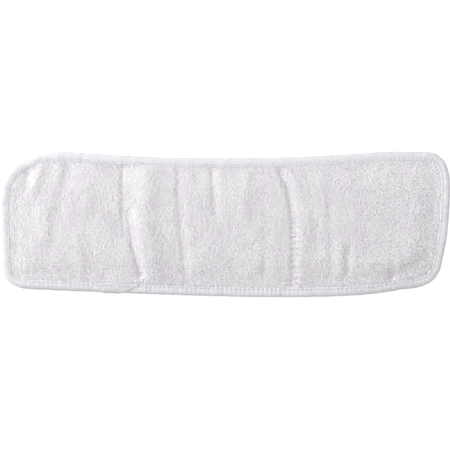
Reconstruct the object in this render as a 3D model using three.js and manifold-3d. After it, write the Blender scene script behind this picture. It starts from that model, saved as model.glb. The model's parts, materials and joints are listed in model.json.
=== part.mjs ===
// A sports headband: a bound towelling pad for the forehead, and an elastic strap that is sewn to the
// back of the pad at one end, folds under it and grips the towelling with a hook patch.
// Millimetres. The pad lies face up, its length along X and its upper edge towards +Y. The strap lies
// under it on Z = 0, fastened flat as the headband is stored.

import * as THREE from 'three';
import { mergeVertices } from 'three/addons/utils/BufferGeometryUtils.js';
import Module from 'manifold-3d';

const wasm = await Module();
wasm.setup();

// Gap kept between pieces that touch on the real object
const clearance = 0.3;

// How far a cutting solid runs on past what it cuts
const overrun = 1;

// Pad, seen from its face
const padLength = 262;
const padHeight = 85.3;
const topDip = 3.9; // how far the middle of the upper edge sinks below its shoulders
const bottomRise = 4.6; // how far the lower corners stand above the lowest point
const leftLean = 1.2; // how far the left end has drawn in at its lower corner
const rightLean = 4.5; // the same for the right end
const topLeftCorner = { along: 38, upright: 30 };
const topRightCorner = { along: 15, upright: 19 };
const bottomRightCorner = { along: 27, upright: 19.6 };
const bottomLeftCorner = { along: 19, upright: 18.6 };
const outlineSteps = 96;

// Layers of the pad, from the skin side to the face
const backPanelThickness = 2.4;
const coreThickness = 2.2;
const facePanelThickness = 2.4;

// Folded tape that binds the edge
const tapeWidth = 5.6;
const tapeThickness = 1.2;
const lapThickness = 0.6; // how far the overlapping end stands proud of the rest
const lapStart = 57; // from the left end of the pad to the far end of the lap
const lapLength = 22;
const lapSlant = 12; // how far the slanting cut runs along the edge

// Threads
const threadWidth = 0.6;
const threadThickness = 0.4;
const seamInset = 4.2; // outer side of the binding seam, from the pad's edge

// Elastic strap
const strapWidth = 38;
const strapThickness = 1.4;
const strapFreeLength = 232;
const strapSewnLength = 20;
const strapEndRadius = 6;
const strapCutRadius = 0.5; // corners of the two runs at the fold
const sewnEndRadius = 2;
const foldGap = 1.2; // between the two runs of the strap at the fold
const foldInset = 9; // from the pad's left end to the fold
const stitchMargin = 3; // from a sewn piece's edge to its stitching
const boxStitchRadius = 1.2;

// Hook patch on the free end
const hookPatchLength = 30;
const hookPatchWidth = 34;
const hookPatchRadius = 4;
const hookPatchInset = 3; // from the strap's end
const hookBaseThickness = 0.8;
const hookHeight = 1.5;
const hookBorder = 2.2; // plain edge of the patch, where it is sewn
const hookStitchInset = 0.6;

// Heights that follow from the layers
const foldX = -padLength / 2 + foldInset;
const foldZ = strapThickness + foldGap / 2;
const sewnEndZ = strapThickness + foldGap;
const backPanelZ = sewnEndZ + strapThickness + clearance;
const coreZ = backPanelZ + backPanelThickness + clearance;
const facePanelZ = coreZ + coreThickness + clearance;
const bindingBottom = backPanelZ;
const bindingTop = facePanelZ + facePanelThickness;
const channelBottom = bindingBottom + tapeThickness;
const channelTop = bindingTop - tapeThickness;
const grooveDepth = threadThickness + clearance;

// A panel's towelling where the binding crushes it: what the tape and its gap leave of the panel
const backRimThickness = backPanelThickness - tapeThickness - clearance;
const faceRimThickness = facePanelThickness - tapeThickness - clearance;

const fabricWhite = 0xe4e2e6;
const tapeWhite = 0xecebef;
const threadWhite = 0xf2f1f4;
const elasticWhite = 0xe0dee2;
const hookWhite = 0xe6e6ea;
const coreWhite = 0xf4f2ee;

function cloth(color, roughness) {
  return new THREE.MeshStandardMaterial({ color, roughness, metalness: 0 });
}

// The pad's closed outline as evenly spaced points: four shallow edges joined by four unequal corners
function outlinePoints() {
  const right = padLength / 2;
  const left = -right;
  const top = padHeight / 2;
  const bottom = -top;
  const cornerY = bottom + bottomRise;
  const lowerLeft = left + leftLean;
  const lowerRight = right - rightLean;
  const topStart = left + topLeftCorner.along;
  const shoulder = right - topLeftCorner.along;
  const bowLight = 0.54 * bottomRise;
  const bowHeavy = 1.95 * bottomRise;

  const outline = new THREE.Shape();
  outline.moveTo(topStart, top);
  outline.quadraticCurveTo((topStart + shoulder) / 2, top - 2 * topDip, shoulder, top);
  outline.lineTo(right - topRightCorner.along, top);
  outline.quadraticCurveTo(right, top, right, top - topRightCorner.upright);
  outline.quadraticCurveTo(right, cornerY * 0.05, lowerRight, bottom + bottomRightCorner.upright);
  outline.quadraticCurveTo(lowerRight - rightLean / 2, cornerY, right - bottomRightCorner.along, cornerY);
  outline.bezierCurveTo(
    right * 0.53, cornerY - bowHeavy,
    left * 0.38, cornerY - bowLight,
    left + bottomLeftCorner.along, cornerY,
  );
  outline.quadraticCurveTo(lowerLeft, cornerY, lowerLeft, bottom + bottomLeftCorner.upright);
  outline.quadraticCurveTo(left, 0, left, top - topLeftCorner.upright);
  outline.quadraticCurveTo(left, top, topStart, top);
  return outline.getSpacedPoints(outlineSteps).slice(0, outlineSteps);
}

const edge = outlinePoints();

// The outline moved inwards by a distance, or outwards by a negative one
function inset(distance) {
  return edge.map((point, i) => {
    const before = edge[(i + outlineSteps - 1) % outlineSteps];
    const after = edge[(i + 1) % outlineSteps];
    const along = after.clone().sub(before).normalize();
    return new THREE.Vector2(point.x + along.y * distance, point.y - along.x * distance);
  });
}

function solidOf(geometry) {
  const bare = geometry.clone();
  bare.deleteAttribute('normal');
  bare.deleteAttribute('uv');
  const welded = mergeVertices(bare);
  const vertProperties = new Float32Array(welded.attributes.position.array);
  const triVerts = new Uint32Array(welded.index.array);
  return new wasm.Manifold(new wasm.Mesh({ numProp: 3, vertProperties, triVerts }));
}

function geometryOf(solid) {
  const mesh = solid.getMesh();
  const geometry = new THREE.BufferGeometry();
  geometry.setAttribute('position', new THREE.BufferAttribute(mesh.vertProperties, 3));
  geometry.setIndex(new THREE.BufferAttribute(mesh.triVerts, 1));
  geometry.computeVertexNormals();
  return geometry;
}

// A flat solid between two heights, with its upper and lower edges rounded by softness
function slab(shape, bottom, top, softness = 0) {
  const geometry = new THREE.ExtrudeGeometry(shape, {
    depth: top - bottom - 2 * softness,
    bevelEnabled: softness > 0,
    bevelThickness: softness,
    bevelSize: softness,
    bevelOffset: -softness,
    bevelSegments: 3,
  });
  geometry.translate(0, 0, bottom + softness);
  return solidOf(geometry);
}

function padSlab(distance, bottom, top, softness = 0) {
  return slab(new THREE.Shape(inset(distance)), bottom, top, softness);
}

function ringSlab(outer, inner, bottom, top) {
  return padSlab(outer, bottom, top).subtract(padSlab(inner, bottom - overrun, top + overrun));
}

function roundedRectangle(left, right, halfWidth, leftRadius, rightRadius) {
  const shape = new THREE.Shape();
  shape.moveTo(left + leftRadius, -halfWidth);
  shape.lineTo(right - rightRadius, -halfWidth);
  shape.absarc(right - rightRadius, -halfWidth + rightRadius, rightRadius, -Math.PI / 2, 0);
  shape.absarc(right - rightRadius, halfWidth - rightRadius, rightRadius, 0, Math.PI / 2);
  shape.lineTo(left + leftRadius, halfWidth);
  shape.absarc(left + leftRadius, halfWidth - leftRadius, leftRadius, Math.PI / 2, Math.PI);
  shape.absarc(left + leftRadius, -halfWidth + leftRadius, leftRadius, Math.PI, 1.5 * Math.PI);
  return shape;
}

function part(name, solid, material) {
  const mesh = new THREE.Mesh(geometryOf(solid), material);
  mesh.name = name;
  return mesh;
}

// Towelling that fills the window of the binding, with a thin rim that runs on inside the binding
function facePanel() {
  const field = padSlab(tapeWidth + clearance, facePanelZ, facePanelZ + facePanelThickness);
  const rim = padSlab(tapeThickness + clearance, facePanelZ, facePanelZ + faceRimThickness);
  return part('face_terry_panel', field.add(rim), cloth(fabricWhite, 0.95));
}

function backPanel() {
  const top = backPanelZ + backPanelThickness;
  const field = padSlab(tapeWidth + clearance, backPanelZ, top);
  const rim = padSlab(tapeThickness + clearance, top - backRimThickness, top);
  return part('back_terry_panel', field.add(rim), cloth(fabricWhite, 0.95));
}

function core() {
  const wadding = padSlab(tapeWidth + clearance, coreZ, coreZ + coreThickness);
  return part('absorbent_core', wadding, cloth(coreWhite, 1));
}

// The stretch of the lower edge where the tape's finishing end lies over its start, cut on a slant
function lap() {
  const start = -padLength / 2 + lapStart;
  const end = start + lapLength;
  const beyond = -padHeight;
  const patch = new THREE.Shape();
  patch.moveTo(start, 0);
  patch.lineTo(start, beyond);
  patch.lineTo(end - lapSlant, beyond);
  patch.lineTo(end - lapSlant, -padHeight / 2);
  patch.lineTo(end, -padHeight / 2 + tapeWidth);
  patch.lineTo(end, 0);
  const bottom = bindingBottom - lapThickness;
  const top = bindingTop + lapThickness;
  return padSlab(-lapThickness, bottom, top).intersect(slab(patch, bottom - overrun, top + overrun));
}

// Folded tape: a channel that holds the rims of both panels, with a groove on each side for its seam
function binding() {
  const body = padSlab(0, bindingBottom, bindingTop, tapeThickness).add(lap());
  const reach = lapThickness + overrun;
  const window = padSlab(tapeWidth, bindingBottom - reach, bindingTop + reach);
  const channel = padSlab(tapeThickness, channelBottom, channelTop);
  const seamIn = seamInset + threadWidth + clearance;
  const seamOut = seamInset - clearance;
  const faceGroove = ringSlab(seamOut, seamIn, bindingTop - grooveDepth, bindingTop + overrun);
  const backGroove = ringSlab(seamOut, seamIn, bindingBottom - overrun, bindingBottom + grooveDepth);
  const tape = body.subtract(window).subtract(channel).subtract(faceGroove).subtract(backGroove);
  return part('edge_binding', tape, cloth(tapeWhite, 0.8));
}

function seamThread(name, bottom) {
  const ring = ringSlab(seamInset, seamInset + threadWidth, bottom, bottom + threadThickness);
  return part(name, ring, cloth(threadWhite, 0.6));
}

// A closed row of stitching: a rounded rectangle one thread wide
function stitchFrame(left, right, halfWidth, radius, bottom) {
  const inner = radius - threadWidth;
  const outside = roundedRectangle(left, right, halfWidth, radius, radius);
  const inside = roundedRectangle(
    left + threadWidth, right - threadWidth, halfWidth - threadWidth, inner, inner,
  );
  const top = bottom + threadThickness;
  return slab(outside, bottom, top).subtract(slab(inside, bottom - overrun, top + overrun));
}

function strapSewnEnd() {
  const shape = roundedRectangle(
    foldX + clearance, foldX + strapSewnLength, strapWidth / 2, strapCutRadius, sewnEndRadius,
  );
  const webbing = slab(shape, sewnEndZ, sewnEndZ + strapThickness);
  return part('strap_sewn_end', webbing, cloth(elasticWhite, 0.85));
}

// Box stitch with a cross, on the underside of the sewn end
function strapRootThread() {
  const left = foldX + stitchMargin;
  const right = foldX + strapSewnLength - stitchMargin;
  const halfWidth = strapWidth / 2 - stitchMargin;
  const bottom = sewnEndZ - clearance - threadThickness;
  let stitches = stitchFrame(left, right, halfWidth, boxStitchRadius, bottom);
  const inLeft = left + threadWidth / 2;
  const inRight = right - threadWidth / 2;
  const inHalf = halfWidth - threadWidth / 2;
  const length = Math.hypot(inRight - inLeft, 2 * inHalf);
  for (const side of [-1, 1]) {
    const bar = new THREE.BoxGeometry(length, threadWidth, threadThickness);
    bar.rotateZ(side * Math.atan2(2 * inHalf, inRight - inLeft));
    bar.translate((inLeft + inRight) / 2, 0, bottom + threadThickness / 2);
    stitches = stitches.add(solidOf(bar));
  }
  return part('strap_root_thread', stitches, cloth(threadWhite, 0.6));
}

// The pieces of the swinging run are placed from the fold, at its axis
function freeStrap() {
  const group = new THREE.Group();
  group.position.set(foldX, 0, foldZ);
  const strapTop = strapThickness - foldZ;
  const run = roundedRectangle(
    clearance, strapFreeLength, strapWidth / 2, strapCutRadius, strapEndRadius,
  );
  group.add(part('elastic_strap', slab(run, -foldZ, strapTop), cloth(elasticWhite, 0.85)));

  const right = strapFreeLength - hookPatchInset;
  const left = right - hookPatchLength;
  const halfWidth = hookPatchWidth / 2;
  const radius = hookPatchRadius;
  const baseTop = strapTop + clearance + hookBaseThickness;
  const base = roundedRectangle(left, right, halfWidth, radius, radius);
  const field = roundedRectangle(
    left + hookBorder, right - hookBorder, halfWidth - hookBorder, radius - hookBorder, radius - hookBorder,
  );
  const patch = slab(base, strapTop + clearance, baseTop)
    .add(slab(field, baseTop - hookBaseThickness / 2, baseTop + hookHeight));
  group.add(part('hook_patch', patch, cloth(hookWhite, 0.45)));

  const row = stitchFrame(
    left + hookStitchInset, right - hookStitchInset, halfWidth - hookStitchInset,
    radius - hookStitchInset, baseTop + clearance,
  );
  group.add(part('hook_patch_thread', row, cloth(threadWhite, 0.6)));
  return group;
}

const headband = new THREE.Group();
headband.add(facePanel());
headband.add(core());
headband.add(backPanel());
headband.add(binding());
headband.add(seamThread('binding_face_thread', bindingTop - threadThickness));
headband.add(seamThread('binding_back_thread', bindingBottom));
headband.add(strapSewnEnd());
headband.add(strapRootThread());
headband.add(freeStrap());

export default headband;
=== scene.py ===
"""A white terry headband: a bound towelling pad for the forehead, lying face up on its folded strap.

The wadding is blown up between its sewn edges by a cloth simulation. The panels lie on the wadding and
add their creases, and the loops stand on the panels, so every layer follows the same surface.
"""
import json
import math

import bpy
import numpy as np
from mathutils import Matrix, Vector, noise
from mathutils.bvhtree import BVHTree


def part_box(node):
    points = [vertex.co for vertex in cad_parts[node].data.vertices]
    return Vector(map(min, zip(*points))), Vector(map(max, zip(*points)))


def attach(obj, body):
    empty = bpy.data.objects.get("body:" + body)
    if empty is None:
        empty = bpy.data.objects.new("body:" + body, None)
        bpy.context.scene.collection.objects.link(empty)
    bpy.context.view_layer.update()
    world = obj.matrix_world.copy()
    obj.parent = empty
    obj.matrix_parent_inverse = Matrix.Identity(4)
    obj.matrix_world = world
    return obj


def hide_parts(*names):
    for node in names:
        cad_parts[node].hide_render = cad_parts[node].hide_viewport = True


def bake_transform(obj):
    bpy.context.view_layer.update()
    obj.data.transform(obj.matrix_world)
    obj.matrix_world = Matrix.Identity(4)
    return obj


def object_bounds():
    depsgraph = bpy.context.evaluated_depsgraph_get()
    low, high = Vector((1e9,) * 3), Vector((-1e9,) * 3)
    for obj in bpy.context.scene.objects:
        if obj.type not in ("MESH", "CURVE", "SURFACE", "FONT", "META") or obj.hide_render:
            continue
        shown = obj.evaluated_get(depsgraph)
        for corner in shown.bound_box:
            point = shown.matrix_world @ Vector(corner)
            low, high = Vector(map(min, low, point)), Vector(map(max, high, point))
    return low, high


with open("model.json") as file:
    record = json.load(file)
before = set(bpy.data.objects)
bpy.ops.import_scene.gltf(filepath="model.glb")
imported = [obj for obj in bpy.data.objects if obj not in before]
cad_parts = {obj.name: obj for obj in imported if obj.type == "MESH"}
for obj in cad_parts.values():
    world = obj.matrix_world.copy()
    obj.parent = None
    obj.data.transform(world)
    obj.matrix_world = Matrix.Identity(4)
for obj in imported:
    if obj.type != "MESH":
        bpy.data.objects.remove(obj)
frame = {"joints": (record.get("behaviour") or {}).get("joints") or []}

CAD_BOX = [list(corner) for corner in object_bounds()]
MM = 0.001
NOISE_GAIN = 1.6
RANDOM = np.random.default_rng(7)

# -------- sizes, in millimetres, and shares of them

# The pad's outline: four shallow edges joined by four unequal corners
TOP_DIP = 3.9
BOTTOM_RISE = 4.6
LEFT_LEAN = 1.2
RIGHT_LEAN = 4.5
TOP_LEFT = (38, 30)
TOP_RIGHT = (15, 19)
BOTTOM_RIGHT = (27, 19.6)
BOTTOM_LEFT = (19, 18.6)
# The two controls of the lower edge's bow: a share of the half length, and of BOTTOM_RISE
BOW_RIGHT = (0.53, 1.95)
BOW_LEFT = (0.38, 0.54)
OUTLINE_POINTS = 160
OUTLINE_SMOOTHINGS = 6

# The tape that binds the edge
TAPE_WIDTH = 5.7
TAPE_CLOTH = 0.55
EDGE_THICKNESS = 6.6
SEAM_INSET = 4.5
SEAM_RISE = 2.88
STITCH_PITCH = 2.6
STITCH_LENGTH = 2.1
# The shares of that length that stitches vary between
STITCH_SPREAD = (0.92, 1.08)
# How far a stitch's centre lies above the tape, and how much more where the tape is lapped
STITCH_RISE = 0.04
LAPPED_RISE = 0.4
THREAD = 0.42
TAPE_STEP = 0.5
# Unevenness of the tape: height, distance between bumps, noise seed and, for its faces, how much
# of the inset counts
FACE_WAVES = ((0.16, 9.0, 2.2, 0.6), (0.1, 3.1, 6.1, 1))
SIDE_WAVE = (0.13, 2.7, 17.3)
LIP_WAVE = (0.1, 5.2, 12.5)
PUCKER = (0.12, 3.4, 21.7)
LAP_CLOTH = 0.36
LAP_LIFT = 0.42
LAP_SLANT = 11.5
LAP_ROWS = 56

# Towelling
PANEL_STEP = 0.7
PANEL_INSET = 3.2
CLOTH = 0.9
LAYER_GAP = 0.15
TUCK = 0.45
# How far a panel's rim lies below the outside of the bound edge
RIM_SINK = 0.75
# Undulation of a panel: height, distance between bumps, noise seed
WAVES = ((0.2, 17, 3.1), (0.1, 6.5, 8.4))
# Lumps that the loops' feet make in the ground cloth: height, distance between lumps
FEET = (0.16, 0.9)
LOOP_PITCH = 1.32
LOOP_HEIGHT = 0.85
LOOP_HALF = 0.55
LOOP_TOP = 0.2
LOOP_FOOT = -0.5
LOOP_THREAD = 0.45
# How far a loop's shading leans from its own roundness towards the cloth that it stands on
LOOP_NAP = 0.7
# How loops differ: shift along and across the row, lean, turn, and ranges of their width and height
LOOP_SHIFT = (0.4, 0.2)
LOOP_LEAN = 0.12
LOOP_TURN = 0.6
LOOP_WIDTHS = (0.85, 1.15)
LOOP_HEIGHTS = (0.8, 1.12)
FIELD_STEP = 0.5
CROWN_REACH = 9.0
DROOP = 2.0
DROOP_REACH = 21
CORNER_SINK = 2.4
# How far the lower edge rolls down, and the Y where that starts
LOWER_ROLL = 1.2
LOWER_ROLL_START = -33
# The corner sinks along this direction, from CORNER_START to CORNER_END short of the box's corner
CORNER_WAY = (0.5, -0.87)
CORNER_START = -34
CORNER_END = -12

# Wadding
BLANK_STEP = 4.0
BLANK_INSET = TAPE_WIDTH + 0.5
HELD_RIM = TAPE_WIDTH + 1
MERGE_DISTANCE = 0.6
LEAST_WADDING = 0.4
RAY_START = 50
STUFFING_PRESSURE = 4.0
STUFFING_FRAMES = 20
MOST_SWELL = 1.5

# Elastic strap
CORD_PITCH = 2.1
CORD_RELIEF = 0.2
PICK_PITCH = 1.8
PICK_RELIEF = 0.05
SELVEDGE = 1.6
SELVEDGE_SINK = 0.12
STRAP_SKIN = 0.15
STRAP_CORNER = 6.0
STRAP_STEP = 0.9
STRAP_ACROSS = 0.42
BOX_MARGIN = 3.3

# Hook patch
HOOK_PITCH = 1.5
HOOK_WIRE = 0.11
HOOK_MARGIN = 2.6
HOOK_SPINE = [(0, -0.1), (0, 0.7), (0.12, 1.15), (0.42, 1.3), (0.66, 1.05), (0.62, 0.8)]
HOOK_ROOT = 0.5
HOOK_BASE = 0.8
HOOK_BASE_SINK = 0.25
PATCH_CUT = 2.2
PATCH_CORNER = 4
PATCH_SEAM_INSET = 0.9
PATCH_SEAM_RISE = 0.57


def mm_box(node):
    """A CAD node's lowest and highest corners, in millimetres."""
    low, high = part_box(node)
    return np.array(low) / MM, np.array(high) / MM


BINDING_LOW, BINDING_HIGH = mm_box("edge_binding")
FACE_TOP = mm_box("face_terry_panel")[1][2]
BACK_BOTTOM = mm_box("back_terry_panel")[0][2]
STRAP_LOW, STRAP_HIGH = mm_box("elastic_strap")
SEWN_LOW, SEWN_HIGH = mm_box("strap_sewn_end")
PATCH_LOW, PATCH_HIGH = mm_box("hook_patch")
HINGE = np.array(frame["joints"][0]["pos_m"]) / MM
STRAP_HALF = (STRAP_HIGH[1] - STRAP_LOW[1]) / 2
STRAP_THICKNESS = STRAP_HIGH[2] - STRAP_LOW[2]
FACE_GROUND = FACE_TOP - LOOP_HEIGHT
BACK_GROUND = BACK_BOTTOM + LOOP_HEIGHT
EDGE_CENTRE = BACK_BOTTOM + 0.2 + EDGE_THICKNESS / 2
FACE_RIM = EDGE_CENTRE + EDGE_THICKNESS / 2 - RIM_SINK
BACK_RIM = EDGE_CENTRE - EDGE_THICKNESS / 2 + RIM_SINK

# -------- small helpers


def smoothstep(low, high, value):
    t = np.clip((value - low) / (high - low), 0, 1)
    return t * t * (3 - 2 * t)


def unit(vectors):
    return vectors / np.linalg.norm(vectors, axis=1, keepdims=True)


def ripple(x, y, size, seed):
    """Smooth noise from about -1 to 1 whose bumps are about size apart."""
    flat_x, flat_y = np.ravel(x) / size, np.ravel(y) / size
    values = [noise.noise(Vector((a, b, seed))) for a, b in zip(flat_x, flat_y)]
    return np.array(values).reshape(np.shape(x)) * NOISE_GAIN


def bezier(points, count):
    """count points along a Bezier curve, its last point left out."""
    t = np.linspace(0, 1, count, endpoint=False)[:, None]
    level = [np.array(p, float) for p in points]
    while len(level) > 1:
        level = [(1 - t) * a + t * b for a, b in zip(level, level[1:])]
    return level[0]


def curve_through(points, count):
    """count points on a Catmull-Rom curve through a few points."""
    p = np.array(points, float)
    if len(p) == 2:
        return p[0] + (p[1] - p[0]) * np.linspace(0, 1, count)[:, None]
    p = np.vstack([2 * p[0] - p[1], p, 2 * p[-1] - p[-2]])
    spans = len(p) - 3
    u = np.linspace(0, spans, count)
    i = np.minimum(u.astype(int), spans - 1)
    t = (u - i)[:, None]
    a, b, c, d = p[i], p[i + 1], p[i + 2], p[i + 3]
    return 0.5 * (2 * b + (c - a) * t + (2 * a - 5 * b + 4 * c - d) * t**2
                  + (3 * b - a - 3 * c + d) * t**3)


def mesh_piece(name, points, faces):
    """An object from points in millimetres; a triangle is a face that names its last corner twice."""
    mesh = bpy.data.meshes.new(name)
    corners = [tuple(dict.fromkeys(face)) for face in np.asarray(faces).tolist()]
    mesh.from_pydata((np.asarray(points, float) * MM).tolist(), [], corners)
    mesh.validate()
    mesh.polygons.foreach_set("use_smooth", [True] * len(mesh.polygons))
    piece = bpy.data.objects.new(name, mesh)
    bpy.context.scene.collection.objects.link(piece)
    return piece


def pick_only(piece):
    """Selects one piece, so that an operator acts on nothing else."""
    bpy.ops.object.select_all(action="DESELECT")
    bpy.context.view_layer.objects.active = piece
    piece.select_set(True)


def on_whole_mesh(piece, operator, **settings):
    """Runs an edit-mode operator on everything in a piece's mesh."""
    pick_only(piece)
    bpy.ops.object.mode_set(mode="EDIT")
    bpy.ops.mesh.select_all(action="SELECT")
    operator(**settings)
    bpy.ops.object.mode_set(mode="OBJECT")


def face_outwards(piece):
    on_whole_mesh(piece, bpy.ops.mesh.normals_make_consistent, inside=False)


def apply_modifier(piece, modifier):
    pick_only(piece)
    bpy.ops.object.modifier_apply(modifier=modifier.name)


def thicken(piece, thickness):
    """Gives a single layer of cloth its thickness, on its inner side."""
    modifier = piece.modifiers.new("Cloth thickness", "SOLIDIFY")
    modifier.thickness = thickness * MM
    modifier.offset = -1
    modifier.use_even_offset = False
    apply_modifier(piece, modifier)


def repeat(points, faces, places, turns, sizes):
    """Copies of a small shape: each is scaled, turned by a 3x3 matrix and moved to its place."""
    shape = np.asarray(points, float)
    count = len(places)
    scaled = shape[None] * np.asarray(sizes)[:, None, :]
    moved = np.einsum("nij,nkj->nki", np.asarray(turns), scaled) + np.asarray(places)[:, None]
    faces = np.asarray(faces)[None] + (np.arange(count) * len(shape))[:, None, None]
    return moved.reshape(-1, 3), faces.reshape(-1, np.shape(faces)[-1])


def tube(spine, radius):
    """A four-sided tube along a few points in the XZ plane; its ends are closed by the last two faces."""
    tangent = unit(np.gradient(np.array(spine, float), axis=0))
    points, faces = [], []
    for (x, z), (tx, tz) in zip(spine, tangent):
        for k in range(4):
            angle = math.pi * k / 2
            out, wide = math.cos(angle) * radius, math.sin(angle) * radius
            points.append((x - tz * wide, out, z + tx * wide))
    for i in range(len(spine) - 1):
        for k in range(4):
            a, b = 4 * i + k, 4 * i + (k + 1) % 4
            faces.append((a, b, b + 4, a + 4))
    last = 4 * (len(spine) - 1)
    faces += [(3, 2, 1, 0), (last, last + 1, last + 2, last + 3)]
    return points, faces


def frames_along(tangent, up):
    """3x3 turns that take X to tangent and Z as near as can be to up."""
    x = unit(tangent)
    y = unit(np.cross(up, x))
    return np.stack([x, y, np.cross(x, y)], axis=2)


def lattice(low, high, margin, pitch):
    """Points a pitch apart between two corners, inside a margin."""
    axes = [np.arange(low[k] + margin, high[k] - margin, pitch) for k in range(2)]
    x, y = np.meshgrid(*axes, indexing="ij")
    return x.ravel(), y.ravel()


# -------- the pad's outline


def pad_outline():
    """The closed outline, clockwise from the upper edge, as points a fixed step apart."""
    left, bottom = BINDING_LOW[:2]
    right, top = BINDING_HIGH[:2]
    corner_y = bottom + BOTTOM_RISE
    low_left, low_right = left + LEFT_LEAN, right - RIGHT_LEAN
    start, shoulder = left + TOP_LEFT[0], right - TOP_LEFT[0]
    turn = right - BOTTOM_RIGHT[0]
    foot = left + BOTTOM_LEFT[0]
    stretches = [
        [(start, top), ((start + shoulder) / 2, top - 2 * TOP_DIP), (shoulder, top)],
        [(shoulder, top), (right - TOP_RIGHT[0], top)],
        [(right - TOP_RIGHT[0], top), (right, top), (right, top - TOP_RIGHT[1])],
        [(right, top - TOP_RIGHT[1]), (right, corner_y * 0.05), (low_right, bottom + BOTTOM_RIGHT[1])],
        [(low_right, bottom + BOTTOM_RIGHT[1]), (low_right - RIGHT_LEAN / 2, corner_y), (turn, corner_y)],
        [(turn, corner_y), (right * BOW_RIGHT[0], corner_y - BOW_RIGHT[1] * BOTTOM_RISE),
         (left * BOW_LEFT[0], corner_y - BOW_LEFT[1] * BOTTOM_RISE), (foot, corner_y)],
        [(foot, corner_y), (low_left, corner_y), (low_left, bottom + BOTTOM_LEFT[1])],
        [(low_left, bottom + BOTTOM_LEFT[1]), (left, 0), (left, top - TOP_LEFT[1])],
        [(left, top - TOP_LEFT[1]), (left, top), (start, top)],
    ]
    points = np.vstack([bezier(s, OUTLINE_POINTS) for s in stretches])
    closed = np.vstack([points, points[:1]])
    length = np.concatenate([[0], np.cumsum(np.linalg.norm(np.diff(closed, axis=0), axis=1))])
    count = round(length[-1] / TAPE_STEP)
    along = np.arange(count) * length[-1] / count
    even = np.column_stack([np.interp(along, length, closed[:, k]) for k in range(2)])
    for _ in range(OUTLINE_SMOOTHINGS):
        even = (np.roll(even, 1, 0) + 2 * even + np.roll(even, -1, 0)) / 4
    return even, along, length[-1]


EDGE, EDGE_ALONG, EDGE_LENGTH = pad_outline()
EDGE_TANGENT = unit(np.roll(EDGE, -1, 0) - np.roll(EDGE, 1, 0))
EDGE_INWARD = np.column_stack([EDGE_TANGENT[:, 1], -EDGE_TANGENT[:, 0]])


def edge_distance(x, y):
    """How far inside the outline each point lies, and the nearest step of the outline."""
    flat = np.column_stack([np.ravel(x), np.ravel(y)])
    distance = np.empty(len(flat))
    nearest = np.empty(len(flat), int)
    for i in range(0, len(flat), 4000):
        part = flat[i:i + 4000]
        gap = ((part[:, None] - EDGE[None]) ** 2).sum(2)
        n = gap.argmin(1)
        distance[i:i + 4000] = ((part - EDGE[n]) * EDGE_INWARD[n]).sum(1)
        nearest[i:i + 4000] = n
    return distance.reshape(np.shape(x)), nearest.reshape(np.shape(x))


# -------- the pad's surface

# Each crease of the face: points along it, depth of the groove at its two ends, widths of its flanks
# (the steep one that turns from the light, then the gentle one), and the height of the ridge that
# runs beside the gentle flank
CREASES = [
    ([(-117.4, 34.4), (-114.8, 30.5), (-115, 24), (-116.6, 19)], (1.5, 0.7), (2.4, 4.0), 0.3),
    ([(-110.2, 36.4), (-109.6, 31.5)], (0.7, 0.4), (1.4, 2.4), 0.3),
    ([(-91.6, 37.5), (-91.8, 27.6), (-95, 13), (-98.4, -1.6), (-101, -12)], (0.9, 0.3), (3.4, 5.2), 0.1),
    ([(-59.8, 37), (-59.4, 20), (-59.2, 5.4), (-58.4, -6)], (1.3, 0.4), (1.4, 6.5), 0.0),
    ([(-61, 32), (-60.4, 10), (-60, -4)], (0.45, 0.3), (9.0, 2.5), 0.0),
    ([(-56.6, 8), (-55.2, 0), (-53.6, -12), (-49.4, -30)], (0.4, 1.4), (1.5, 4.0), 0.5),
    ([(-27.6, 37.5), (-26.8, 10), (-24.4, -14), (-22.8, -36)], (0.75, 0.6), (1.5, 4.0), 0.1),
    ([(-8, 35), (-7.2, 22), (-6, 10), (-2, -6)], (1.1, 0.3), (1.4, 3.6), 0.2),
    ([(-17, 34), (-16, 24)], (0.4, 0.2), (1.4, 3.0), 0.1),
    ([(23.6, 8), (23.2, -12), (22.6, -30)], (0.2, 0.6), (1.8, 4.0), 0.1),
    ([(29.8, 38), (32.8, 29), (37, 17), (39.2, -3), (39.2, -36)], (1.1, 1.3), (1.5, 4.2), 0.4),
    ([(49, 30), (51, 4), (53, -16)], (0.3, 0.5), (2.0, 4.4), 0.1),
    ([(60.5, 24), (61, -2), (61, -30)], (0.2, 0.4), (2.0, 4.0), 0.1),
    ([(71.8, -13), (70.8, -21), (70.8, -29)], (0.7, 0.7), (1.6, 3.0), 0.2),
    ([(96.5, -22), (97, -31)], (0.4, 0.9), (1.6, 3.0), 0.3),
    ([(118, -17), (112.5, -22.5), (104, -27.5), (98, -30)], (0.2, 0.8), (3.2, 2.6), 0.1),
    ([(117.6, 38), (118.8, 33)], (0.6, 0.3), (1.2, 2.4), 0.2),
    ([(123, 36.5), (121, 32.5)], (0.6, 0.3), (1.2, 2.4), 0.1),
    ([(-121, -29), (-118.2, -34)], (0.6, 1.2), (1.8, 2.6), 0.3),
    ([(-87, -24), (-87.5, -35)], (0.2, 0.6), (1.6, 3.0), 0.1),
    ([(-70, -27), (-69, -35)], (0.2, 0.6), (1.6, 3.0), 0.1),
]
RIDGE_REACH = 1.2

# Soft ridges with no groove of their own: points along the crest, height, half width
RIDGES = [
    ([(-44.6, 36), (-45, 18), (-46.2, 4), (-43.6, -12), (-39, -29)], 1.5, 6.0),
    ([(111, 4), (109, -12), (101, -20), (86, -24)], 0.7, 5.5),
    ([(-105.6, 38), (-108, 30), (-110.4, 22)], 0.6, 2.8),
    ([(-96, 38), (-97, 26)], 0.5, 3.0),
    ([(-105.6, 8), (-104, -8)], 0.8, 4.4),
    ([(-80, 22), (-79.4, 8)], 0.5, 4.0),
    ([(-85.6, -6), (-84.2, -28)], 0.6, 3.8),
    ([(12, 36), (11.6, 6)], 0.5, 3.0),
    ([(67, -12), (66.4, -28)], 0.4, 3.4),
]


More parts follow.
